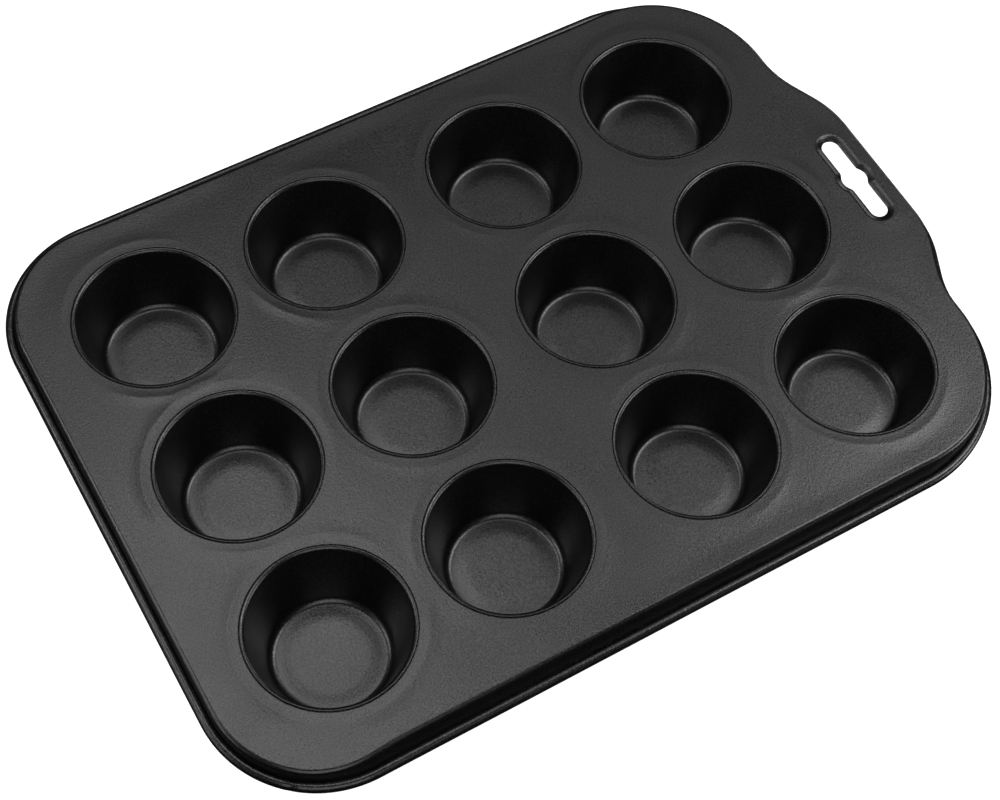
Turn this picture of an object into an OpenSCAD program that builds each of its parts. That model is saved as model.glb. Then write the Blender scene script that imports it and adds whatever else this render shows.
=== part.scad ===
// Mini muffin tin: one pressed steel sheet with three rows of four cups, a flared
// skirt, a rim curled round a wire and a hanging tab with a flanged slot.
// Millimetres, +Z up. The tin stands on its cup floors at Z = 0, with the middle
// of its bounding box on the Z axis and the hanging tab towards +X.

/* [Sheet] */
// Thickness of the pressed sheet
sheet = 0.4; // [0.3:0.05:0.5]

/* [Deck] */
// Length of the flat deck between its two bent ends, without the tab
deck_l = 241.8; // [238:0.2:260]
// Width of the flat deck between its two bent sides
deck_w = 181.6; // [176:0.2:200]
// Radius of the flat deck's two corners away from the tab
corner_r = 29.4; // [20:0.2:32]
// Radius of the flat deck's two corners beside the tab
front_corner_r = 37; // [20:0.2:38]

/* [Cups] */
// Rows of cups across the tin
rows = 3; // [1:1:3]
// Diameter of a cup's mouth, where its lip leaves the flat deck
mouth_d = 48; // [44:0.5:50]
// Depth of a cup, from the deck's top to the floor's top
cup_depth = 21; // [16:0.5:26]
// How far a cup's wall leans outwards over 24 mm of its height
wall_lean = 7; // [6:0.5:8]
// Radius between a cup's floor and its wall, on the inside
floor_r = 3.4; // [1:0.1:4]
// Radius of a cup's lip, on the inside
lip_r = 1.3; // [0.8:0.1:2]
// Distance between cup centres along the length, within a pair of columns
pitch_x = 54.8; // [52:0.1:56]
// Distance between cup centres across the middle of the tin
pitch_mid = 60.9; // [52:0.1:62]
// Distance between cup centres across the width
pitch_y = 54.7; // [52:0.1:56]

/* [Skirt and rim] */
// Radius of the bend between deck and skirt, on the outside
bend_r = 1.5; // [1:0.1:3]
// How far the skirt leans outwards over 24 mm of its height
skirt_lean = 7; // [4:0.5:12]
// Length of the skirt's straight wall down its slope
wall_len = 4.9; // [3:0.1:8]
// Outer radius of the curled rim
curl_r = 1.5; // [1.1:0.05:1.8]
// Angle that the curl turns through
curl_angle = 300; // [240:5:305]
// Play between the wire and the inside of the curl
wire_play = 0.05; // [0.05:0.01:0.1]

/* [Hanging tab] */
// Length of the tab's straight front edge
tab_flat = 37; // [20:0.2:38]
// Radius of the tab's two front corners
tab_r = 29; // [15:0.2:30]
// Radius of the hollow necks beside the tab
neck_r = 34.2; // [20:0.2:35]
// Length of the straight between a neck and a tab corner
neck_len = 7.4; // [2:0.2:8]
// Angle of that straight to the tab's front edge, seen from above
neck_angle = 24.7; // [20:0.1:25]

/* [Hanging slot] */
// Length of the slot
slot_l = 31.2; // [28:0.2:36]
// Width of the slot
slot_w = 5.8; // [5:0.2:8]
// Diameter of the round opening at the slot's middle
slot_eye_d = 8.4; // [8:0.2:11]
// Distance from the slot's middle line to the tab's flat front edge
slot_inset = 6.6; // [6:0.1:8]
// Depth of the slot's turned-down flange, from the deck's top
slot_flange = 1.2; // [1:0.1:3]

/* [Hidden] */
$fn = 96;
cols = 4;
deck_x = deck_l / 2;
deck_y = deck_w / 2;
mouth_r = mouth_d / 2;
deck_top = sheet + cup_depth;
function end_r(side) = side < 0 ? corner_r : front_corner_r;
// The deck's long sides are straight between its corners
side_l = deck_l - corner_r - front_corner_r;
side_x = (corner_r - front_corner_r) / 2;
// Tab and necks: two arcs and a straight on each side
tab_y = tab_flat / 2;
tab_out = (neck_r + tab_r) * (1 - cos(neck_angle)) + neck_len * sin(neck_angle);
neck_y = tab_y + (neck_r + tab_r) * sin(neck_angle) + neck_len * cos(neck_angle);
tab_centre = [deck_x + tab_out - tab_r, tab_y];
neck_centre = [deck_x + neck_r, neck_y];
neck_dir = [cos(neck_angle), sin(neck_angle)];
neck_end = neck_centre - neck_r * neck_dir;
tab_start = tab_centre + tab_r * neck_dir;
slot_x = deck_x + tab_out - slot_inset;
// Each straight beside the tab stops this short of its arcs, so that all are closed solids
seam = 0.002;
// The body's middle lies half the tab's reach behind the bounding box's middle
body_x = -tab_out / 2;
// Skirt and curl, measured outwards from the deck's flat edge
wall_dir = [skirt_lean, -24] / norm([skirt_lean, 24]);
wall_normal = [-wall_dir[1], wall_dir[0]];
bend_centre = [0, deck_top - bend_r];
bend_end = bend_centre + bend_r * wall_normal;
wall_end = bend_end + wall_len * wall_dir;
curl_inner = curl_r - sheet;
curl_centre = wall_end + curl_inner * wall_normal;
wire_r = curl_inner - wire_play;
// Cup wall, from its lean: the floor's flat part is what the wall leaves
cup_normal = [24, -wall_lean] / norm([24, wall_lean]);
radii = lip_r + floor_r;
wall_drop = cup_depth - radii - radii * cup_normal[1];
floor_flat = mouth_r - radii * cup_normal[0] - wall_drop * wall_lean / 24;
floor_centre = [floor_flat, sheet + floor_r];
lip_centre = [mouth_r, deck_top - lip_r];
function cup_x(c) = (c < 3 ? -1 : 1) * (pitch_mid / 2 + (c == 1 || c == 4 ? pitch_x : 0));
function cup_y(r) = ((rows + 1) / 2 - r) * pitch_y;
function cup_name(r, c) = str("cup_", r, "_", c);

// Seen from above, the deck's outline without the tab
module deck_body() {
    translate([side_x, 0])
        square([side_l, deck_w], center = true);
    for (x = [-1, 1]) {
        translate([x * deck_x / 2, 0])
            square([deck_x, deck_w - 2 * end_r(x)], center = true);
        for (y = [-1, 1])
            translate([x * (deck_x - end_r(x)), y * (deck_y - end_r(x))])
                circle(end_r(x));
    }
}

// Half of the tab: a hollow neck, a straight and a round corner
module half_tab() {
    difference() {
        polygon([
            [tab_centre[0], 0],
            [deck_x + tab_out, 0],
            [deck_x + tab_out, tab_y],
            tab_centre,
            tab_start,
            neck_end,
            [deck_x, neck_y],
            [tab_centre[0], neck_y]
        ]);
        translate(neck_centre)
            circle(neck_r);
    }
    translate(tab_centre)
        circle(tab_r);
}

module deck_outline() {
    deck_body();
    half_tab();
    mirror([0, 1])
        half_tab();
}

// The slot's outline, grown outwards by a margin
module slot_outline(grow = 0) {
    end_r = slot_w / 2 + grow;
    end_y = (slot_l - slot_w) / 2;
    translate([slot_x, 0]) {
        square([2 * end_r, 2 * end_y], center = true);
        for (y = [-end_y, end_y])
            translate([0, y])
                circle(end_r);
        circle(slot_eye_d / 2 + grow);
    }
}

// Sweeps a section along the deck's edge: x outwards from the edge, y upwards
module along_edge() {
    for (y = [-1, 1]) {
        translate([side_x, y * deck_y])
            rotate(90 * y)
                edge_straight(side_l)
                    children();
        translate([deck_x, y * (neck_y + deck_y - front_corner_r) / 2])
            edge_straight(deck_y - front_corner_r - neck_y)
                children();
        for (x = [-1, 1])
            translate([x * (deck_x - end_r(x)), y * (deck_y - end_r(x))])
                edge_arc(end_r(x), 45 * (2 - x) * y - 45, 90)
                    children();
    }
    translate([-deck_x, 0])
        rotate(180)
            edge_straight(deck_w - 2 * corner_r)
                children();
    translate([deck_x + tab_out, 0])
        edge_straight(tab_flat)
            children();
    for (side = [0, 1])
        mirror([0, side]) {
            translate(neck_centre)
                edge_arc(neck_r, 180, neck_angle)
                    mirror([1, 0])
                        children();
            translate((neck_end + tab_start) / 2)
                rotate(neck_angle)
                    edge_straight(neck_len - 2 * seam)
                        children();
            translate(tab_centre)
                edge_arc(tab_r, 0, neck_angle)
                    children();
        }
}

module edge_straight(length) {
    rotate([90, 0, 0])
        linear_extrude(length, center = true)
            children();
}

module edge_arc(radius, start, angle) {
    rotate(start)
        rotate_extrude(angle = angle)
            translate([radius, 0])
                children();
}

// The region inside the skirt's surface, an inset below its top surface
module under_skirt(inset) {
    intersection() {
        translate(bend_centre)
            circle(bend_r - inset);
        polygon([
            bend_centre,
            bend_centre + [0, 2 * bend_r],
            bend_centre + [2 * bend_r, 2 * bend_r],
            bend_centre + 2 * bend_r * wall_normal
        ]);
    }
    polygon([
        bend_centre,
        bend_end - inset * wall_normal,
        wall_end - inset * wall_normal,
        bend_centre + wall_len * wall_dir
    ]);
}

// The region inside a cup, grown into its wall by a margin
module cup_cavity(grow) {
    floor_tangent = floor_centre + (floor_r + grow) * cup_normal;
    lip_tangent = lip_centre - (lip_r - grow) * cup_normal;
    floor_z = sheet - grow;
    difference() {
        polygon([
            [0, floor_z],
            [floor_flat, floor_z],
            floor_centre,
            floor_tangent,
            lip_tangent,
            lip_centre,
            [mouth_r, deck_top - grow],
            [mouth_r, deck_top + lip_r],
            [0, deck_top + lip_r]
        ]);
        translate(lip_centre)
            circle(lip_r - grow);
    }
    intersection() {
        translate(floor_centre)
            circle(floor_r + grow);
        polygon([
            floor_centre,
            [floor_flat, sheet - 2 * floor_r],
            [floor_flat + 2 * floor_r, sheet - 2 * floor_r],
            floor_centre + 3 * floor_r * cup_normal
        ]);
    }
}

module deck() {
    color("#3c3c3e")
        translate([body_x, 0, deck_top - sheet])
            linear_extrude(sheet)
                difference() {
                    deck_outline();
                    slot_outline();
                    for (r = [1:rows], c = [1:cols])
                        translate([cup_x(c), cup_y(r)])
                            circle(mouth_r);
                }
}

module slot_flange() {
    color("#343436")
        translate([body_x, 0, deck_top - slot_flange])
            linear_extrude(slot_flange - sheet)
                difference() {
                    slot_outline(sheet);
                    slot_outline();
                }
}

module skirt() {
    color("#2c2c2e")
        translate([body_x, 0])
            along_edge()
                difference() {
                    under_skirt(0);
                    under_skirt(sheet);
                }
}

module rolled_rim() {
    reach = 4 * curl_r;
    gap = (360 - curl_angle) / 2;
    gap_mid = 180 + atan(skirt_lean / 24) - gap;
    color("#38383a")
        translate([body_x, 0])
            along_edge()
                translate(curl_centre)
                    difference() {
                        circle(curl_r);
                        circle(curl_inner);
                        polygon([
                            [0, 0],
                            reach * [cos(gap_mid - gap), sin(gap_mid - gap)],
                            reach * [cos(gap_mid + gap), sin(gap_mid + gap)]
                        ]);
                    }
}

module rim_wire() {
    color("silver")
        translate([body_x, 0])
            along_edge()
                translate(curl_centre)
                    circle(wire_r);
}

module cup(r, c) {
    color("#303032")
        translate([body_x + cup_x(c), cup_y(r)])
            rotate_extrude()
                intersection() {
                    square([mouth_r, deck_top]);
                    difference() {
                        cup_cavity(sheet);
                        cup_cavity(0);
                    }
                }
}

deck();
slot_flange();
skirt();
rolled_rim();
rim_wire();
for (r = [1:rows], c = [1:cols])
    cup(r, c);
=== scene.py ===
"""Looks of the mini muffin tin: fine meshes for its pressed sheet, the non-stick coating, and the studio."""
import math
import random

import bpy
import numpy as np
from mathutils import Matrix, Vector, geometry
from mathutils.kdtree import KDTree


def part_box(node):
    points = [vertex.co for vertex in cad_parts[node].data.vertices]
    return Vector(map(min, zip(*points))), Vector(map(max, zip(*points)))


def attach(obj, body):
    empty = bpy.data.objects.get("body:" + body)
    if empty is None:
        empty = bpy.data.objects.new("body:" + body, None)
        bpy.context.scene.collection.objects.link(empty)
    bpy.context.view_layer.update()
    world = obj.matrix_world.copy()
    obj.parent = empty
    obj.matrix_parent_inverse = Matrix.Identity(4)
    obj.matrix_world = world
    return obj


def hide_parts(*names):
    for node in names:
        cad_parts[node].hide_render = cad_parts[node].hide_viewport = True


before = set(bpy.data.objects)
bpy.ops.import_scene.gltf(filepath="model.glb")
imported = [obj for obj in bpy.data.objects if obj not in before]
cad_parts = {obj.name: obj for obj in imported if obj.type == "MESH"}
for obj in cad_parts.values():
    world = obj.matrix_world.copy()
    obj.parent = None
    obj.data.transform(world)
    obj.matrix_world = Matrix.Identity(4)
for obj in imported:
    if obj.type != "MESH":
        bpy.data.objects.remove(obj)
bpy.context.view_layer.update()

MM = 0.001
BODY = "root"
ROWS, COLS = 3, 4


def box_mm(node):
    """The low and the high corner of a CAD node's box, in millimetres."""
    low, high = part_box(node)
    return np.array(low) / MM, np.array(high) / MM


# ---- Sizes in millimetres, from the frame ----
deck_low, deck_high = box_mm("deck")
TOP = deck_high[2]
SHEET = TOP - deck_low[2]
CUPS = {}
for row in range(1, ROWS + 1):
    for col in range(1, COLS + 1):
        cup_low, cup_high = box_mm(f"cup_{row}_{col}")
        CUPS[row, col] = (cup_low + cup_high)[:2] / 2
MOUTH_R = (cup_high[0] - cup_low[0]) / 2
MIDDLE_X = (CUPS[1, 1][0] + CUPS[1, COLS][0]) / 2
DECK_X = MIDDLE_X - deck_low[0]
DECK_Y = deck_high[1]
TAB_X = deck_high[0]
flange_low, flange_high = box_mm("slot_flange")
SLOT_X = (flange_low[0] + flange_high[0]) / 2
SLOT_END = flange_high[1] - SHEET
SLOT_DROP = TOP - flange_low[2]

# ---- The other sizes of the tin, in millimetres and degrees, as in the CAD source ----
CORNER_R, FRONT_CORNER_R = 29.4, 37
TAB_FLAT, TAB_R = 37, 29
NECK_R, NECK_LEN, NECK_ANGLE = 34.2, 7.4, 24.7
BEND_R, WALL_LEN = 1.5, 4.9
CURL_R, CURL_TURN = 1.5, 300
SKIRT_NORMAL = np.array((24, 7)) / 25

# ---- Radii in millimetres that are a little smaller here than in the CAD ----
FLOOR_R, LIP_R = 2.3, 1.2
SLOT_R, EYE_R = 2.75, 4.05

# ---- What only the looks have, in millimetres and degrees ----
# The slot's edge is drawn down in a soft bevel: its width, its slope and the radius of its bend
SLOT_BEVEL, SLOT_SLOPE, SLOT_BEND_R = 2.4, 21, 2.0
# The radius between the slot's straight sides and its eye
SLOT_SHOULDER_R = 2.7
# The bevel's cut end is rounded by these shares of its length and its thickness
SLOT_NOSE_BACK, SLOT_NOSE_DOWN = 0.06, 0.12
# Painted shade: how much less the coating mirrors on the slot's -X edge, to dull a highlight there
SLOT_PAINTED_SHADE = 0.35
# A fine groove rings each mouth, and the lip rolls down inside it from a narrow flat
GROOVE_AT, GROOVE_DEPTH, GROOVE_HALF = -0.24, 0.05, 0.4
LIP_FLAT = 0.45
# The lip's middle circle stands a little proud of the deck round it
LIP_TOP = TOP - 0.02
# The coating is worn along the lip's crest, this far in from the flat and this far to each side
CREST_AT, CREST_HALF = 0.4, 0.7
# A cup's floor is flat out to here, and a little crowned in the middle
FLOOR_FLAT, CROWN, CROWN_START = 15.0, 0.22, 10.0
# A cup's wall has fine upright streaks and is slightly out of round
STREAK_DEPTH, OUT_OF_ROUND = 0.012, 0.05
# Round each mouth the deck rises to a draw mark about this far out, and fades down again beyond it
DRAW_START, DRAW_AT, DRAW_SWAY, DRAW_RISE, DRAW_FADE = 0.3, 2.9, 0.5, 0.12, 2.0
# Along the mark is a small ridge
RIDGE_HALF, RIDGE_HEIGHT = 0.45, 0.04
# A draw mark's strength round its cup, from 0 to 1
MARK_MEAN, MARK_SWING, MARK_LEAST, MARK_MOST = 0.3, 0.6, 0.05, 0.7
# The deck sinks a little between its stiff edges and is gently uneven, less so near edges and mouths
DECK_SINK, WAVE_HEIGHT = 0.16, 0.06
EDGE_CALM, MOUTH_CALM = 5, 7
# The skirt is steeper at the tin's two ends, so the flat deck reaches further there
BACK_BULGE, SIDE_BULGE, FRONT_BULGE = 0.9, -0.7, 1.6
BULGE_START, BULGE_RUN = 80, 30
# The finished edge leans in and down, from this far above the bend's centre
LEAN_IN, LEAN_DOWN, LEAN_START = 0.05, 0.03, 0.8
# The rolled edge puckers everywhere a little, and more where it is turned round a corner
PUCKER, CORNER_PUCKER = 0.005, 0.03
# A corner is an arc that turns more than this, and its ends are blended over this many points
CORNER_TURN, CORNER_BLEND = 60, 17
# The puckers reach down to this share of the curl's radius below its middle
PUCKER_REACH = 0.6
# Where the rolled edge is tucked at a corner: direction and half width, and depth
TUCK_AT, TUCK_HALF, TUCK_DEPTH = 230, 1.3, 0.25
# The curl's faces stop this many degrees short of its rounded end
NOSE_OUTER, NOSE_INNER = 4, 6
# The clearest draw marks: cup, direction from its centre and half width in degrees, extra strength
DRAW_MARKS = [
    ((2, 1), 140, 75, 1.6),
    ((1, 1), 260, 50, 1.0),
    ((3, 1), 150, 50, 0.5),
    ((2, 2), 160, 40, 0.5),
    ((3, 3), 20, 50, 0.6),
    ((2, 4), 265, 45, 0.7),
    ((3, 4), 235, 50, 0.6),
    ((1, 2), 215, 40, 0.5),
]
# Seeds of what is uneven. The first four have the cup's own number added
STREAK_SEED, ROUND_SEED, MARK_SEED, SWAY_SEED = 100, 200, 300, 350
IN_SEED, DOWN_SEED, PUCKER_SEED, WAVE_SEED = 11, 12, 13, 7

# ---- How finely the meshes are cut, in millimetres ----
# Round each mouth the deck has a collar of rings at these distances, then evenly spaced rings
COLLAR = 3.1
COLLAR_STEPS = (0, 0.04, 0.08, 0.12, 0.16, 0.25, 0.45, 0.75, 1.1, 1.5, 1.9, 2.3, 2.7, COLLAR)
RING_STEP, RING_COUNT = 0.45, 8
# Between them is a triangular grid, with its rows at this share of its pitch
GRID_PITCH, ROW_SHARE = 2.4, 0.866
# The least room that a ring leaves to a collar and to the middle line between two cups
COLLAR_GAP, MIDDLE_GAP = 0.2, 0.25
# The least room that the grid leaves to the rings, and that both leave to the deck's edges
GRID_GAP, EDGE_GAP = 0.4, 0.9
CUP_SEGMENTS, DECK_SEGMENTS = 192, 160
# Steps across a lip's flat, and points on a cup's wall, on its floor and on the skirt's wall
LIP_STEPS, CUP_WALL_POINTS, CUP_FLOOR_POINTS, SKIRT_POINTS = 8, 14, 18, 9
# Each floor's innermost ring has this radius
INNER_RING_R = 0.6
# Corners nearer to each other than this are one corner when the deck is triangulated
SAME_PLACE = 1e-6
# Faces that meet at more than this many degrees have a sharp edge
SHARP_ANGLE = 40


# ---- Outlines and sections ----
def smooth(share):
    """An even step from 0 to 1."""
    share = np.clip(share, 0, 1)
    return share * share * (3 - 2 * share)


def line(length):
    """A straight step of an outline, as length and turn."""
    return length, 0


def arc(radius, turn):
    """A round step of an outline, as length and turn in degrees."""
    return radius * math.radians(abs(turn)), turn


def walk(start, heading, steps, spacing=1.5, arc_step=1.5):
    """Goes round a closed outline of straights and arcs. The outward normal is on the right."""
    points, normals, turning = [], [], []
    place = np.array(start, float)
    for length, turn in steps:
        count = max(1, math.ceil(length / spacing), math.ceil(abs(turn) / arc_step))
        for k in range(count):
            angle = math.radians(heading + turn * k / count)
            points.append(place.copy())
            normals.append((math.sin(angle), -math.cos(angle)))
            turning.append(turn)
            middle = math.radians(heading + turn * (k + 0.5) / count)
            half_turn = math.radians(turn / count) / 2
            chord = length / count * (math.sin(half_turn) / half_turn if turn else 1)
            place += chord * np.array((math.cos(middle), math.sin(middle)))
        heading += turn
    return np.array(points), np.array(normals), np.array(turning)


def edge_outline():
    """The deck's flat edge, anticlockwise from the middle of the tab."""
    neck_y = TAB_FLAT / 2 + (NECK_R + TAB_R) * math.sin(math.radians(NECK_ANGLE))
    neck_y += NECK_LEN * math.cos(math.radians(NECK_ANGLE))
    half_tab = [line(TAB_FLAT / 2), arc(TAB_R, NECK_ANGLE), line(NECK_LEN), arc(NECK_R, -NECK_ANGLE)]
    half_front = half_tab + [line(DECK_Y - FRONT_CORNER_R - neck_y), arc(FRONT_CORNER_R, 90)]
    half_front.append(line(2 * DECK_X - CORNER_R - FRONT_CORNER_R))
    back = [arc(CORNER_R, 90), line(2 * (DECK_Y - CORNER_R)), arc(CORNER_R, 90)]
    steps = half_front + back + half_front[::-1]
    return walk((TAB_X, 0), 90, steps)


def bulge(points):
    """How far the flat deck reaches past its even outline, by place along the tin."""
    along = points[:, 0] - MIDDLE_X
    front = (FRONT_BULGE - SIDE_BULGE) * smooth((along - BULGE_START) / BULGE_RUN)
    back = (BACK_BULGE - SIDE_BULGE) * smooth((-along - BULGE_START) / BULGE_RUN)
    return SIDE_BULGE + front + back


def slot_outline():
    """The see-through slot, anticlockwise from the middle of its round eye."""
    centre_x = SLOT_R + SLOT_SHOULDER_R
    centre_y = math.sqrt((EYE_R + SLOT_SHOULDER_R) ** 2 - centre_x ** 2)
    shoulder = math.degrees(math.atan2(centre_y, centre_x))
    half_eye = [arc(EYE_R, shoulder), arc(SLOT_SHOULDER_R, -shoulder)]
    half_side = half_eye + [line(SLOT_END - SLOT_R - centre_y)]
    steps = half_side + [arc(SLOT_R, 180)] + half_side[::-1]
    return walk((SLOT_X + EYE_R, 0), 90, steps * 2, spacing=0.7, arc_step=6)


def bow(centre, radius, start, end, step=5):
    """Points on an arc of a section, from one angle to another."""
    count = max(2, math.ceil(abs(end - start) / step) + 1)
    angles = np.radians(np.linspace(start, end, count))
    return [np.array(centre) + radius * np.array((math.cos(a), math.sin(a))) for a in angles]


def sheet_section(outer, inner):
    """A closed section of the sheet, from its outer face and its inner face in the same order."""
    return np.array(list(outer) + list(inner)[::-1])


FLARE = math.degrees(math.atan2(SKIRT_NORMAL[1], SKIRT_NORMAL[0]))
WALL_DIR = np.array((SKIRT_NORMAL[1], -SKIRT_NORMAL[0]))
BEND_CENTRE = np.array((0, TOP - BEND_R))
WALL_END = BEND_CENTRE + BEND_R * SKIRT_NORMAL + WALL_LEN * WALL_DIR
CURL_CENTRE = WALL_END + (CURL_R - SHEET) * SKIRT_NORMAL


def skirt_section():
    """Out from the deck's flat edge and up: the bend and the flared wall."""
    wall = np.linspace(0, WALL_LEN, SKIRT_POINTS)[1:, None] * WALL_DIR
    faces = []
    for radius in (BEND_R, BEND_R - SHEET):
        bend = bow(BEND_CENTRE, radius, 90, FLARE)
        faces.append([np.array((0, TOP - BEND_R + radius)), *bend[1:], *(bend[-1] + wall)])
    return sheet_section(*faces)


def curl_section():
    """The edge rolled outwards round the wire, nearly back to the wall."""
    start = 180 + FLARE
    outer = bow(CURL_CENTRE, CURL_R, start, start + CURL_TURN - NOSE_OUTER, 9)
    inner = bow(CURL_CENTRE, CURL_R - SHEET, start, start + CURL_TURN - NOSE_INNER, 12)
    end = math.radians(start + CURL_TURN)
    nose = CURL_CENTRE + (CURL_R - SHEET / 2) * np.array((math.cos(end), math.sin(end)))
    return sheet_section(outer + [nose], inner)


def slot_section():
    """Out from the slot's opening and up: the sloping drawn-down edge and its bend into the deck."""
    centre = (SLOT_BEVEL, TOP - SLOT_BEND_R)
    through = SHEET * np.array((math.sin(math.radians(SLOT_SLOPE)), -math.cos(math.radians(SLOT_SLOPE))))
    end = np.array((0, TOP - SLOT_DROP)) - (0, through[1])
    outer = bow(centre, SLOT_BEND_R, 90, 90 + SLOT_SLOPE)
    inner = bow(centre, SLOT_BEND_R - SHEET, 90, 90 + SLOT_SLOPE)
    nose = [end + SLOT_NOSE_BACK * (outer[-1] - end), end + SLOT_NOSE_DOWN * through]
    return sheet_section(outer + nose, inner + [end + through])


def groove(distance):
    """How much a place lies in the fine groove round a cup, by distance from the mouth's circle."""
    return 0.5 + 0.5 * np.cos(math.pi * np.clip(np.abs(distance - GROOVE_AT) / GROOVE_HALF, 0, 1))


def crown(radius):
    """How far a cup's floor stands up in the middle, by distance from there."""
    return CROWN * smooth((FLOOR_FLAT - radius) / (FLOOR_FLAT - CROWN_START))


def on_lip(section):
    """Which points of a cup's section, as (radius, height), belong to its lip."""
    return section[:, 1] > LIP_TOP - LIP_R


def cup_section():
    """A cup's inside face from mouth to middle, and its outside face, as (radius, height)."""
    lip_centre = np.array((MOUTH_R - LIP_FLAT, LIP_TOP - LIP_R))
    floor_centre = np.array((FLOOR_FLAT, SHEET + FLOOR_R))
    across = lip_centre - floor_centre
    wall_tilt = math.acos((LIP_R + FLOOR_R) / np.linalg.norm(across)) - math.atan2(across[1], across[0])
    wall_angle = 180 - math.degrees(wall_tilt)
    fall = (LIP_TOP - TOP + DECK_SINK) * smooth(np.linspace(1, 0, LIP_STEPS + 1)[:-1])
    flat_radii = [MOUTH_R - k * LIP_FLAT / LIP_STEPS for k in range(LIP_STEPS)]
    wall_shares = np.linspace(0, 1, CUP_WALL_POINTS)[1:-1]
    floor_radii = np.linspace(FLOOR_FLAT, INNER_RING_R, CUP_FLOOR_POINTS)[1:]
    faces = []
    for depth in (0, SHEET):
        flat = [np.array((r, LIP_TOP - depth - drop)) for r, drop in zip(flat_radii, fall)]
        lip = bow(lip_centre, LIP_R - depth, 90, wall_angle, 4)
        fillet = bow(floor_centre, FLOOR_R + depth, wall_angle - 180, -90, 4)
        wall = [lip[-1] + share * (fillet[0] - lip[-1]) for share in wall_shares]
        floor = [np.array((r, SHEET - depth)) for r in floor_radii]
        face = np.array(flat + lip + wall + fillet + floor)
        face[:, 1] -= GROOVE_DEPTH * groove(face[:, 0] - MOUTH_R) * on_lip(face)
        face[:, 1] += crown(face[:, 0]) * (face[:, 1] < FLOOR_R / 2)
        faces.append(face)
    return faces


# ---- Slow unevenness, from seeded sums of sines ----
def ripple(seed, waves, low, high):
    """A smooth periodic function of an angle, from about -1 to 1, with low to high waves round a turn."""
    draw = random.Random(seed)
    terms = []
    for _ in range(waves):
        terms.append((draw.randint(low, high), draw.uniform(0, 2 * math.pi), draw.uniform(0.5, 1)))
    total = sum(size for _, _, size in terms)
    return lambda angle: sum(a * np.sin(n * angle + phase) for n, phase, a in terms) / total


def deck_waves(seed, count=14, shortest=28, longest=90):
    """A gently uneven field over the deck, as the sheet is after pressing, of waves in all directions."""
    draw = random.Random(seed)
    terms = []
    for _ in range(count):
        turns = 2 * math.pi / draw.uniform(shortest, longest)
        way = draw.uniform(0, 2 * math.pi)
        terms.append((turns * math.cos(way), turns * math.sin(way), draw.uniform(0, 6)))
    return lambda x, y: sum(np.sin(a * x + b * y + c) for a, b, c in terms) / math.sqrt(count)


def cup_seed(seed, cup):
    """A seed with the cup's own number added."""
    return seed + 10 * cup[0] + cup[1]


# ---- Meshes ----
def make_object(name, verts, faces, wear=None, painted_shade=None):
    """A smooth object from millimetres, with how worn the coating is and how much painted shade it carries
    at each point.
    """
    mesh = bpy.data.meshes.new(name)
    mesh.from_pydata([tuple(v) for v in np.asarray(verts) * MM], [], faces)
    mesh.validate()
    mesh.update()
    mesh.shade_smooth()
    mesh.set_sharp_from_angle(angle=math.radians(SHARP_ANGLE))
    for mark, values in (("wear", wear), ("painted_shade", painted_shade)):
        values = np.zeros(len(verts)) if values is None else values
        mesh.attributes.new(mark, "FLOAT", "POINT").data.foreach_set("value", np.asarray(values, np.float32))
    piece = bpy.data.objects.new(name, mesh)
    bpy.context.scene.collection.objects.link(piece)
    return piece


def full_turn(count):
    """Evenly spaced angles round a circle."""
    return np.linspace(0, 2 * math.pi, count, endpoint=False)


def ring_faces(count, width, closed_section=True):
    """Quads of a closed strip: count sections of width points each."""
    last = width if closed_section else width - 1
    faces = []
    for i in range(count):
        for j in range(last):
            a, b = i * width + j, i * width + (j + 1) % width
            c, d = (i + 1) % count * width + (j + 1) % width, (i + 1) % count * width + j
            faces.append((a, b, c, d))
    return faces


def sweep(points, normals, sections):
    """Carries a section round an outline. sections is (points, section points, 2)."""
    out, up = sections[..., 0], sections[..., 1]
    flat = points[:, None, :] + out[..., None] * normals[:, None, :]
    return np.concatenate([flat, up[..., None]], axis=2).reshape(-1, 3)


def edge_lean(angle):
    """How far the finished edge leans in and down round the tin."""
    inwards = LEAN_IN * (1 + ripple(IN_SEED, waves=6, low=3, high=17)(angle))
    downwards = LEAN_DOWN * (1 + ripple(DOWN_SEED, waves=6, low=3, high=17)(angle))
    return inwards, downwards


def pucker_depth(angle, normals, turning):
    """How deep the rolled edge is puckered and tucked round the tin."""
    count = len(angle)
    on_corner = np.tile(np.abs(turning) > CORNER_TURN, 3)
    cornering = np.convolve(on_corner, np.ones(CORNER_BLEND) / CORNER_BLEND, "same")[count:2 * count]
    uneven = 0.5 + 0.5 * ripple(PUCKER_SEED, waves=9, low=120, high=330)(angle)
    pucker = (PUCKER + CORNER_PUCKER * cornering) * uneven
    heading = np.degrees(np.arctan2(normals[:, 1], normals[:, 0])) % 360
    return pucker + TUCK_DEPTH * np.exp(-((heading - TUCK_AT) / TUCK_HALF) ** 2)


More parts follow.
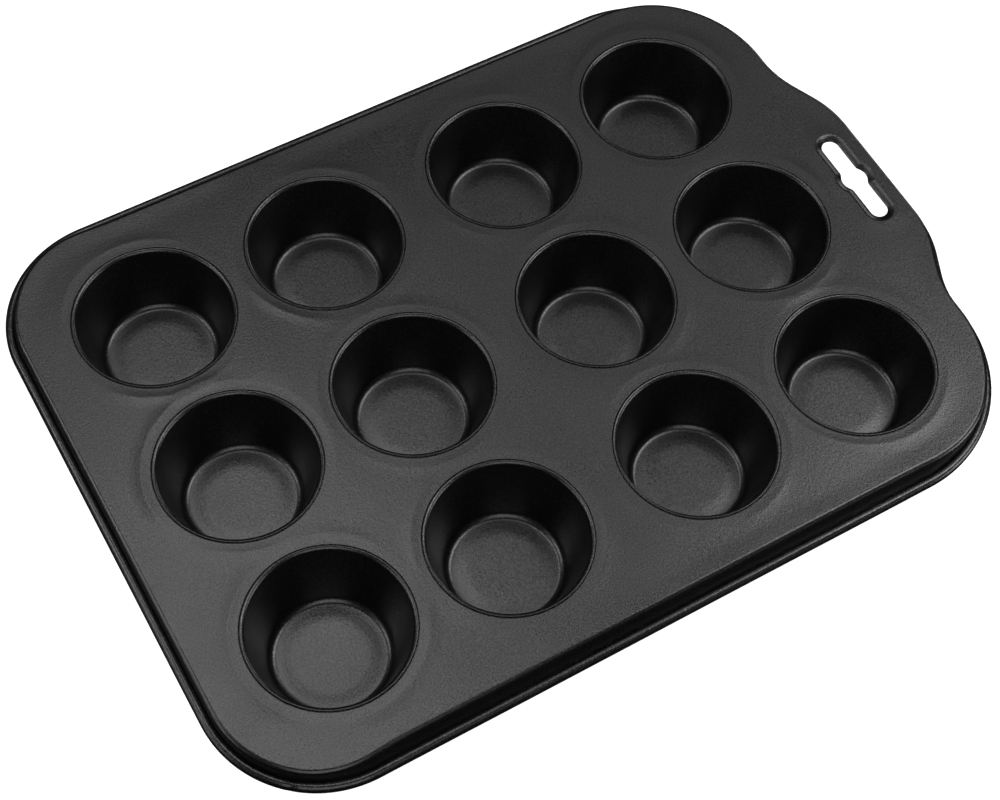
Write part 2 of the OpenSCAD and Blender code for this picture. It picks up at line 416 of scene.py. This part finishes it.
def make_skirt_and_rim():
    """The skirt and the rolled edge, which lean together, each with the CAD node that it replaces."""
    points, normals, turning = edge_outline()
    count = len(points)
    angle = full_turn(count)
    inwards, downwards = edge_lean(angle)
    skirt = np.repeat(skirt_section()[None], count, axis=0)
    curl = np.repeat(curl_section()[None], count, axis=0)
    lean_top = BEND_CENTRE[1] + LEAN_START
    depth = np.clip((lean_top - skirt[..., 1]) / (lean_top - WALL_END[1]), 0, 1)
    for section, share in ((skirt, depth), (curl, 1)):
        section[..., 0] -= inwards[:, None] * share
        section[..., 1] -= downwards[:, None] * share
        section[..., 0] += bulge(points)[:, None] * (1 - share)
    # Puckers only press in the curl's outer face, and fade out below its middle
    offset = curl - (CURL_CENTRE - np.stack([inwards, downwards], 1)[:, None, :])
    radius = np.linalg.norm(offset, axis=2)
    outside = np.clip((radius - CURL_R + SHEET / 4) / (SHEET / 4), 0, 1)
    facing = np.clip(offset[..., 1] / CURL_R + PUCKER_REACH, 0, 1)
    pucker = pucker_depth(angle, normals, turning)
    curl -= offset / radius[..., None] * (pucker[:, None] * outside * facing)[..., None]
    wear = (outside * np.clip(offset[..., 1] / CURL_R, 0, 1)).reshape(-1)
    made = []
    for name, node, section, worn in (
        ("pressed_skirt", "skirt", skirt, None),
        ("rolled_edge", "rolled_rim", curl, wear),
    ):
        faces = ring_faces(count, section.shape[1])
        made.append((make_object(name, sweep(points, normals, section), faces, worn), node))
    return made


def make_slot_flange():
    """The slot's drawn-down edge, with painted shade (less sheen) on its -X side."""
    points, normals, _ = slot_outline()
    section = slot_section()
    verts = sweep(points, normals, np.repeat(section[None], len(points), axis=0))
    # Painted shade on the -X side, to dull the highlight that catches there
    painted_shade = np.repeat(np.clip(-normals[:, 0], 0, 1) * SLOT_PAINTED_SHADE, len(section))
    return make_object("plunged_slot_edge", verts, ring_faces(len(points), len(section)), None, painted_shade)


def cup_swell(cup, angle, rings):
    """How far a cup's wall stands outwards, by direction and by point of its section."""
    height = (rings[:, 1] - SHEET - FLOOR_R) / (LIP_TOP - LIP_R - SHEET - FLOOR_R)
    on_wall = np.clip(4 * height * (1 - height), 0, 1) * (rings[:, 0] > FLOOR_FLAT)
    streak = ripple(cup_seed(STREAK_SEED, cup), waves=12, low=5, high=60)(angle)
    out_of_round = ripple(cup_seed(ROUND_SEED, cup), waves=3, low=2, high=5)(angle)
    streaks = STREAK_DEPTH * streak[:, None] * on_wall[None]
    return streaks + OUT_OF_ROUND * out_of_round[:, None] * on_wall[None]


def make_cup(row, col):
    """One drawn cup, a strip round its section whose two faces close with a point in the middle."""
    middle = CUPS[row, col]
    inside, outside = cup_section()
    rings = np.concatenate([inside, outside[::-1]])
    width = len(rings)
    angle = full_turn(CUP_SEGMENTS)
    radius = rings[None, :, 0] + cup_swell((row, col), angle, rings)
    x = middle[0] + radius * np.cos(angle)[:, None]
    y = middle[1] + radius * np.sin(angle)[:, None]
    z = np.repeat(rings[None, :, 1], CUP_SEGMENTS, axis=0)
    verts = np.stack([x, y, z], axis=2).reshape(-1, 3)
    verts = np.concatenate([verts, [(*middle, SHEET + CROWN), (*middle, CROWN)]])
    top_middle, under_middle = len(inside) - 1, len(inside)
    faces = [f for k, f in enumerate(ring_faces(CUP_SEGMENTS, width)) if k % width != top_middle]
    for i in range(CUP_SEGMENTS):
        here, there = i * width, (i + 1) % CUP_SEGMENTS * width
        faces.append((here + top_middle, len(verts) - 2, there + top_middle))
        faces.append((there + under_middle, len(verts) - 1, here + under_middle))
    from_crest = np.abs(rings[:, 0] - MOUTH_R + LIP_FLAT + CREST_AT)
    wear = np.clip(1 - from_crest / CREST_HALF, 0, 1) * on_lip(rings)
    # Painted shade: the coating mirrors less down the groove round the mouth, to darken it
    painted_shade = groove(rings[:, 0] - MOUTH_R) * on_lip(rings)
    wear, painted_shade = (np.concatenate([np.tile(mark, CUP_SEGMENTS), [0, 0]]) for mark in (wear, painted_shade))
    return make_object(f"drawn_cup_{row}_{col}", verts, faces, wear, painted_shade)


def mark_strength(cup, angle):
    """How strong the draw mark round a cup is, from 0 to 1, by direction."""
    uneven = ripple(cup_seed(MARK_SEED, cup), waves=5, low=1, high=5)(angle)
    strength = np.clip(MARK_MEAN + MARK_SWING * uneven, MARK_LEAST, MARK_MOST)
    for marked_cup, way, half, extra in DRAW_MARKS:
        if marked_cup == cup:
            off = np.abs((np.degrees(angle) - way + 180) % 360 - 180)
            strength = strength + extra * smooth(1 - off / half)
    return np.clip(strength, 0, 1)


def deck_height(x, y, edge_distance):
    """How far the deck stands off flat, and how far each place is down a groove, from 0 to 1."""
    marks, grooves, calm = np.zeros(len(x)), np.zeros(len(x)), np.ones(len(x))
    for cup, centre in CUPS.items():
        dx, dy = x - centre[0], y - centre[1]
        away = np.hypot(dx, dy) - MOUTH_R
        angle = np.arctan2(dy, dx)
        sway = ripple(cup_seed(SWAY_SEED, cup), waves=4, low=1, high=4)(angle)
        mark_at = DRAW_AT + DRAW_SWAY * sway
        rise = smooth((away - DRAW_START) / (mark_at - DRAW_START))
        fade = np.exp(-(np.clip(away - mark_at, 0, None) / DRAW_FADE) ** 2)
        ridge = np.exp(-((away - mark_at) / RIDGE_HALF) ** 2)
        marks += mark_strength(cup, angle) * (RIDGE_HEIGHT * ridge + DRAW_RISE * (rise * fade))
        calm *= smooth(away / MOUTH_CALM)
        grooves += GROOVE_DEPTH * groove(away)
    waves = WAVE_HEIGHT * deck_waves(WAVE_SEED)(x, y) * calm
    height = np.minimum((marks + waves - DECK_SINK) * smooth(edge_distance / EDGE_CALM), 0) - grooves
    return height, grooves / GROOVE_DEPTH


def spans(points, centres):
    """The distance from each point to each cup's centre."""
    return np.hypot(points[:, None, 0] - centres[None, :, 0], points[:, None, 1] - centres[None, :, 1])


def rings_beyond_collars(centres, circle):
    """Rings of points round each collar, as far as the middle line to the next cup."""
    radii = MOUTH_R + COLLAR + RING_STEP * np.arange(1, RING_COUNT + 1)
    points = np.concatenate([centre + circle * radius for centre in centres for radius in radii])
    owner = np.repeat(np.arange(len(centres)), len(radii) * len(circle))
    span = spans(points, centres)
    nearest = np.sort(span, axis=1)
    clear = (nearest[:, 0] > MOUTH_R + COLLAR + COLLAR_GAP) & (nearest[:, 1] - nearest[:, 0] > MIDDLE_GAP)
    return points[clear & (span.argmin(axis=1) == owner)]


def grid_between_rings(centres):
    """A triangular grid of points over the deck's box, outside the rings."""
    points = []
    for row, y in enumerate(np.arange(-DECK_Y, DECK_Y, GRID_PITCH * ROW_SHARE)):
        shift = row % 2 * GRID_PITCH / 2
        points += [(x + shift, y) for x in np.arange(deck_low[0], deck_high[0], GRID_PITCH)]
    points = np.array(points)
    ring_end = MOUTH_R + COLLAR + RING_STEP * (RING_COUNT + 0.5)
    return points[spans(points, centres).min(axis=1) > ring_end + GRID_GAP]


def distance_to(edge):
    """A function that gives each point's distance to the nearest point of an edge."""
    tree = KDTree(len(edge))
    for k, (x, y) in enumerate(edge):
        tree.insert((x, y, 0), k)
    tree.balance()
    return lambda points: np.array([tree.find((x, y, 0))[2] for x, y in points])


def triangulate(outline, holes, extra):
    """Points and triangles between an outline and its holes, through some extra points."""
    points, edges = [], []
    for loop in (outline, *holes):
        base = len(points)
        points.extend(loop)
        edges += [(base + k, base + (k + 1) % len(loop)) for k in range(len(loop))]
    points.extend(extra)
    result = geometry.delaunay_2d_cdt([Vector(p) for p in points], edges, [], 0, SAME_PLACE, False)
    flat = np.array([tuple(v) for v in result[0]])
    centroids = np.array([flat[list(f)].mean(axis=0) for f in result[2]])
    inside = within(centroids, outline)
    for hole in holes:
        inside &= ~within(centroids, hole)
    return flat, [f for f, kept in zip(result[2], inside) if kept]


def make_deck():
    """The deck: a collar of rings round each mouth, and triangles between the collars and its edges."""
    edge_points, edge_normals, _ = edge_outline()
    outline = edge_points + bulge(edge_points)[:, None] * edge_normals
    slot_points, slot_normals, _ = slot_outline()
    slot_loop = slot_points + SLOT_BEVEL * slot_normals
    edge_distance = distance_to(np.concatenate([outline, slot_loop]))
    angle = full_turn(DECK_SEGMENTS)
    circle = np.stack([np.cos(angle), np.sin(angle)], 1)
    collar_radii = MOUTH_R + np.array(COLLAR_STEPS)
    flat, faces = [], []
    for centre in CUPS.values():
        base = len(flat)
        flat.extend((centre + circle[:, None, :] * collar_radii[None, :, None]).reshape(-1, 2))
        faces += [tuple(base + k for k in f) for f in ring_faces(DECK_SEGMENTS, len(collar_radii), False)]
    centres = np.array(list(CUPS.values()))
    extra = np.concatenate([rings_beyond_collars(centres, circle), grid_between_rings(centres)])
    extra = extra[edge_distance(extra) > EDGE_GAP]
    holes = [slot_loop] + [centre + circle * (MOUTH_R + COLLAR) for centre in centres]
    between, between_faces = triangulate(outline, holes, extra)
    faces += [tuple(len(flat) + k for k in f) for f in between_faces]
    flat, faces = weld(np.concatenate([flat, between]), faces)
    # The groove's share round each mouth also paints shade into the deck's coating
    height, painted_shade = deck_height(flat[:, 0], flat[:, 1], edge_distance(flat))
    verts, faces = thicken(flat, height, faces)
    return make_object("pressed_deck", verts, faces, None, np.tile(painted_shade, 2))


def within(points, loop):
    """Which points lie inside a closed loop, by counting crossings."""
    x, y = points[:, 0], points[:, 1]
    inside = np.zeros(len(points), bool)
    for a, b in zip(loop, np.roll(loop, -1, axis=0)):
        if a[1] == b[1]:
            continue
        crosses = (a[1] > y) != (b[1] > y)
        inside ^= crosses & (x < (b[0] - a[0]) * (y - a[1]) / (b[1] - a[1]) + a[0])
    return inside


def weld(points, faces, step=1e-4):
    """Joins points that are in one place and drops those no face uses."""
    keys = np.round(points / step).astype(np.int64)
    _, first, index = np.unique(keys, axis=0, return_index=True, return_inverse=True)
    index = index.reshape(-1)
    used = sorted({int(index[k]) for f in faces for k in f})
    renumber = {k: n for n, k in enumerate(used)}
    return points[first[used]], [tuple(renumber[int(index[k])] for k in f) for f in faces]


def face_up(flat, face):
    """The face with its corners anticlockwise from above."""
    a, b, c = (flat[k] for k in face[:3])
    turn = (b[0] - a[0]) * (c[1] - a[1]) - (b[1] - a[1]) * (c[0] - a[0])
    return face if turn > 0 else face[::-1]


def thicken(flat, height, faces):
    """A closed sheet: the top face, a copy one thickness below, and a wall round each border."""
    count = len(flat)
    top = np.column_stack([flat, TOP + height])
    under = np.column_stack([flat, TOP - SHEET + height])
    upper = [face_up(flat, f) for f in faces]
    borders = {}
    for f in upper:
        for a, b in zip(f, f[1:] + f[:1]):
            if (b, a) in borders:
                del borders[b, a]
            else:
                borders[a, b] = True
    lower = [tuple(k + count for k in f[::-1]) for f in upper]
    walls = [(b, a, a + count, b + count) for a, b in borders]
    return np.concatenate([top, under]), upper + lower + walls


# ---- Materials ----
# Most of a noise lies between these values
NOISE_SPAN = (0.3, 0.7)
# Where the coating is worn it is this much smoother and greyer, and where shade is painted in it mirrors
# this much less
WORN_POLISH, WORN_GREYNESS, PAINTED_SHADE_LOSS = 0.08, 0.5, 0.55
BLACK, DARK_GREY = (0.002, 0.002, 0.0021, 1), (0.026, 0.026, 0.027, 1)
STEEL, WHITE, PAPER = (0.55, 0.55, 0.56, 1), (1, 1, 1, 1), (0.6, 0.6, 0.6, 1)


def new_material(name):
    """A material with its node tree and its shader."""
    material = bpy.data.materials.new(name)
    material.use_nodes = True
    tree = material.node_tree
    return material, tree, tree.nodes["Principled BSDF"]


def object_place(tree):
    """The place on the object, in metres."""
    return tree.nodes.new("ShaderNodeTexCoord").outputs["Object"]


def mesh_mark(tree, name):
    """What make_object wrote at each point under this name."""
    node = tree.nodes.new("ShaderNodeAttribute")
    node.attribute_name = name
    return node.outputs["Fac"]


def noise(tree, vector, scale_mm, detail, roughness):
    """A noise whose features are about scale_mm across."""
    node = tree.nodes.new("ShaderNodeTexNoise")
    node.inputs["Scale"].default_value = 1 / (scale_mm * MM)
    node.inputs["Detail"].default_value = detail
    node.inputs["Roughness"].default_value = roughness
    tree.links.new(vector, node.inputs["Vector"])
    return node.outputs["Fac"]


def remap(tree, value, span, to_span):
    """The value carried over from one span to another, and held at its ends."""
    node = tree.nodes.new("ShaderNodeMapRange")
    for socket, number in zip(("From Min", "From Max", "To Min", "To Max"), (*span, *to_span)):
        node.inputs[socket].default_value = number
    tree.links.new(value, node.inputs["Value"])
    return node.outputs["Result"]


def combine(tree, operation, a, b):
    """Two values or plain numbers, combined by the named operation."""
    node = tree.nodes.new("ShaderNodeMath")
    node.operation = operation
    for socket, value in zip(node.inputs, (a, b)):
        if isinstance(value, (int, float)):
            socket.default_value = value
        else:
            tree.links.new(value, socket)
    return node.outputs["Value"]


def bump(tree, height, distance_mm, strength, before=None):
    """A normal that follows a height, on top of the bumps before it."""
    node = tree.nodes.new("ShaderNodeBump")
    node.inputs["Strength"].default_value = strength
    node.inputs["Distance"].default_value = distance_mm * MM
    tree.links.new(height, node.inputs["Height"])
    if before is not None:
        tree.links.new(before, node.inputs["Normal"])
    return node.outputs["Normal"]


def coating_normal(tree, place, grain):
    """Fine orange peel, with the grain on top."""
    orange_peel = noise(tree, place, scale_mm=0.9, detail=2, roughness=0.55)
    normal = bump(tree, orange_peel, distance_mm=0.05, strength=0.8)
    return bump(tree, grain, distance_mm=0.03, strength=0.8, before=normal)


def coating_roughness(tree, place, grain, worn):
    """Satin, in slow patches and with the grain, and a little more polished where it is worn."""
    patches = noise(tree, place, scale_mm=26, detail=3, roughness=0.55)
    slow = remap(tree, patches, NOISE_SPAN, (0.29, 0.33))
    rough = combine(tree, "ADD", slow, remap(tree, grain, NOISE_SPAN, (-0.03, 0.03)))
    return combine(tree, "SUBTRACT", rough, combine(tree, "MULTIPLY", worn, WORN_POLISH))


def coating_sheen(tree, grain):
    """How strongly the coating mirrors: in fine grains, and less where shade is painted in."""
    sheen = remap(tree, grain, NOISE_SPAN, (0.35, 0.69))
    # Painted shade: the sheen is cut in the grooves and on the slot's -X edge
    loss = combine(tree, "MULTIPLY", mesh_mark(tree, "painted_shade"), PAINTED_SHADE_LOSS)
    return combine(tree, "MAXIMUM", combine(tree, "SUBTRACT", sheen, loss), 0)


def coating_colour(tree, grain, worn):
    """Black, and a little greyer in the highest grains and where it is worn."""
    tint = tree.nodes.new("ShaderNodeMix")
    tint.data_type = "RGBA"
    tint.inputs["A"].default_value = BLACK
    tint.inputs["B"].default_value = DARK_GREY
    specks = remap(tree, grain, (0.55, 0.8), (0, 0.3))
    greyness = combine(tree, "ADD", specks, combine(tree, "MULTIPLY", worn, WORN_GREYNESS))
    tree.links.new(greyness, tint.inputs["Factor"])
    return tint.outputs["Result"]


def coating_material():
    """Satin black non-stick coating, baked on over the pressed sheet."""
    material, tree, shader = new_material("nonstick_coating")
    place = object_place(tree)
    grain = noise(tree, place, scale_mm=0.38, detail=1, roughness=0.5)
    scuffs = remap(tree, noise(tree, place, scale_mm=1.6, detail=4, roughness=0.7), (0.5, 0.68), (0, 1))
    worn = combine(tree, "MULTIPLY", mesh_mark(tree, "wear"), scuffs)
    tree.links.new(coating_colour(tree, grain, worn), shader.inputs["Base Color"])
    tree.links.new(coating_roughness(tree, place, grain, worn), shader.inputs["Roughness"])
    tree.links.new(coating_sheen(tree, grain), shader.inputs["Specular IOR Level"])
    tree.links.new(coating_normal(tree, place, grain), shader.inputs["Normal"])
    shader.inputs["IOR"].default_value = 1.5
    return material


def wire_material():
    """Drawn steel wire."""
    material, tree, shader = new_material("drawn_steel_wire")
    drawn = noise(tree, object_place(tree), scale_mm=0.4, detail=3, roughness=0.6)
    tree.links.new(remap(tree, drawn, NOISE_SPAN, (0.25, 0.42)), shader.inputs["Roughness"])
    tree.links.new(bump(tree, drawn, distance_mm=0.01, strength=0.4), shader.inputs["Normal"])
    shader.inputs["Base Color"].default_value = STEEL
    shader.inputs["Metallic"].default_value = 1
    return material


def floor_material():
    """Plain white paper sweep."""
    material, tree, shader = new_material("white_paper")
    fibre = noise(tree, object_place(tree), scale_mm=2, detail=3, roughness=0.6)
    tree.links.new(bump(tree, fibre, distance_mm=0.05, strength=0.1), shader.inputs["Normal"])
    shader.inputs["Base Color"].default_value = PAPER
    shader.inputs["Roughness"].default_value = 0.9
    shader.inputs["Emission Color"].default_value = WHITE
    shader.inputs["Emission Strength"].default_value = 0.9
    return material


# ---- Studio ----
# The camera's place and lens in millimetres, and its angles in degrees
CAMERA_PLACE = (-165.8, -237.2, 491.4)
CAMERA_AZIMUTH, CAMERA_ELEVATION, CAMERA_ROLL = 34.19, 60.42, 5.14
CAMERA_LENS = 68.77
# In metres. The floor lies a hair below the tin's feet
CLIP_START, LIGHT_DISTANCE, FLOOR_HALF, FLOOR_GAP = 0.01, 1.4, 3.0, 0.0001
WORLD_STRENGTH = 0.015
# Name, tilt from overhead and azimuth from +Y to +X in degrees, size in metres, power in watts
SOFT_BOXES = [
    ("key", 32, 92, 0.55, 8.0),
    ("back", 18, 5, 0.4, 2.8),
    ("back_right", 38, 42, 0.5, 0.7),
    ("left", 46, 306, 0.5, 4.4),
    ("low_right", 76, 130, 0.6, 6.5),
    ("low_left", 70, 278, 0.6, 2.8),
    ("front", 44, 206, 0.9, 6.0),
    ("right", 80, 65, 0.4, 1.6),
    ("back_left", 32, 0, 0.3, 0.6),
]


def make_camera():
    """At the photograph's angle: azimuth from +Y towards +X, elevation down to the deck, a small roll."""
    data = bpy.data.cameras.new("camera")
    data.lens = CAMERA_LENS
    data.clip_start = CLIP_START
    camera = bpy.data.objects.new("camera", data)
    azimuth, elevation = math.radians(CAMERA_AZIMUTH), math.radians(CAMERA_ELEVATION)
    turned = Matrix.Rotation(-azimuth, 4, "Z") @ Matrix.Rotation(math.pi / 2 - elevation, 4, "X")
    rolled = Matrix.Rotation(math.radians(CAMERA_ROLL), 4, "Z")
    camera.matrix_world = Matrix.Translation(Vector(CAMERA_PLACE) * MM) @ turned @ rolled
    bpy.context.scene.collection.objects.link(camera)
    bpy.context.scene.camera = camera


def make_light(name, tilt, azimuth, size, power):
    """A square soft box aimed at the tin, tilted from overhead towards an azimuth from +Y to +X."""
    data = bpy.data.lights.new(name, "AREA")
    data.shape = "SQUARE"
    data.size = size
    data.energy = power
    light = bpy.data.objects.new(name, data)
    way = Matrix.Rotation(-math.radians(azimuth), 4, "Z") @ Matrix.Rotation(-math.radians(tilt), 4, "X")
    light.matrix_world = way @ Matrix.Translation((0, 0, LIGHT_DISTANCE))
    bpy.context.scene.collection.objects.link(light)


def make_floor():
    """A white floor that the camera sees but the tin doesn't mirror."""
    mesh = bpy.data.meshes.new("floor")
    corners = [(x * FLOOR_HALF, y * FLOOR_HALF, 0) for x, y in ((-1, -1), (1, -1), (1, 1), (-1, 1))]
    mesh.from_pydata(corners, [], [(0, 1, 2, 3)])
    floor = bpy.data.objects.new("floor", mesh)
    floor.location.z = -FLOOR_GAP
    floor.visible_glossy = False
    floor.visible_diffuse = False
    floor.data.materials.append(floor_material())
    bpy.context.scene.collection.objects.link(floor)


def make_world():
    """A faint even light from all round."""
    world = bpy.data.worlds.new("world")
    bpy.context.scene.world = world
    world.use_nodes = True
    background = world.node_tree.nodes["Background"]
    background.inputs["Color"].default_value = WHITE
    background.inputs["Strength"].default_value = WORLD_STRENGTH


# ---- The tin ----
coating = coating_material()


def dress(piece, node):
    """Coats a piece, ties it to the body and hides the CAD node that it stands for."""
    piece.data.materials.append(coating)
    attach(piece, BODY)
    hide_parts(node)


make_camera()
dress(make_deck(), "deck")
for piece, node in make_skirt_and_rim():
    dress(piece, node)
dress(make_slot_flange(), "slot_flange")
for row, col in CUPS:
    dress(make_cup(row, col), f"cup_{row}_{col}")

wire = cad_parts["rim_wire"]
wire.data.materials.clear()
wire.data.materials.append(wire_material())

make_floor()
make_world()
for light in SOFT_BOXES:
    make_light(*light)
bpy.context.scene.view_settings.view_transform = "Standard"
